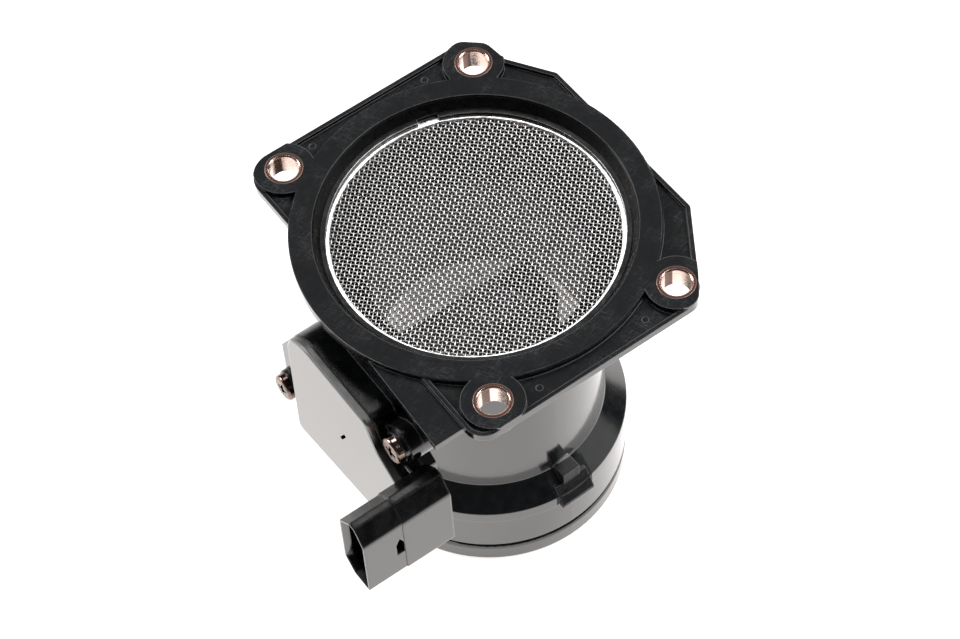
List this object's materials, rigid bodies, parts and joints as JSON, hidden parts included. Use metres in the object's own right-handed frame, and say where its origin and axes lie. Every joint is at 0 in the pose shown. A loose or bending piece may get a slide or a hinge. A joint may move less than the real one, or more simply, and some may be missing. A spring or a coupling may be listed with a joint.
{
  "type": "mass airflow sensor",
  "caption": "Black mass airflow sensor: bolted flange with a wire-mesh inlet, straight measuring tube, side sensor module with connector, and a beaded hose spigot.",
  "frame": {"origin": "centre of the hose spigot's open end, on the flow axis", "axes": "+Z along the flow axis from the spigot to the screened inlet, -Y towards the sensor module, +X towards the connector"},
  "size_m": [0.0948, 0.1077, 0.096],
  "materials": {
    "housing_plastic": "satin moulded",
    "module_plastic": "satin moulded",
    "cover_plastic": "glossy",
    "copper_fitting": "bright copper-coloured plating",
    "screen_wire": "woven stainless wire",
    "screen_rim": "bright rolled strip",
    "spring_steel": "blackened spring steel",
    "seal_rubber": "matt",
    "duct_plastic": "satin moulded",
    "base_aluminium": "milled",
    "board_ceramic": "fired",
    "chip_plastic": "matt",
    "terminal_metal": "tinned",
    "pin_steel": "drawn wire",
    "element_glass": "glazed",
    "bead_glass": "glazed"
  },
  "bodies": {
    "root": {"housing": "housing_plastic", "screen_ring": "screen_rim", "screen_mesh": "screen_wire", "retaining_ring": "spring_steel", "sensor_case": "module_plastic", "sensor_cover": "cover_plastic", "case_screw_upper": "copper_fitting", "case_screw_lower": "copper_fitting", "case_seal": "seal_rubber", "bypass_duct": "duct_plastic", "bypass_cover": "duct_plastic", "base_plate": "base_aluminium", "circuit_board": "board_ceramic", "control_chip": "chip_plastic", "hot_element": "element_glass", "cold_element": "element_glass", "air_thermistor": "bead_glass", "bushing_front_left": "copper_fitting", "bushing_front_right": "copper_fitting", "bushing_rear_left": "copper_fitting", "bushing_rear_right": "copper_fitting", "terminal_1": "terminal_metal", "terminal_2": "terminal_metal", "terminal_3": "terminal_metal", "terminal_4": "terminal_metal", "terminal_5": "terminal_metal", "support_pin_1": "pin_steel", "support_pin_2": "pin_steel", "support_pin_3": "pin_steel", "support_pin_4": "pin_steel"}
  },
  "joints": []
}
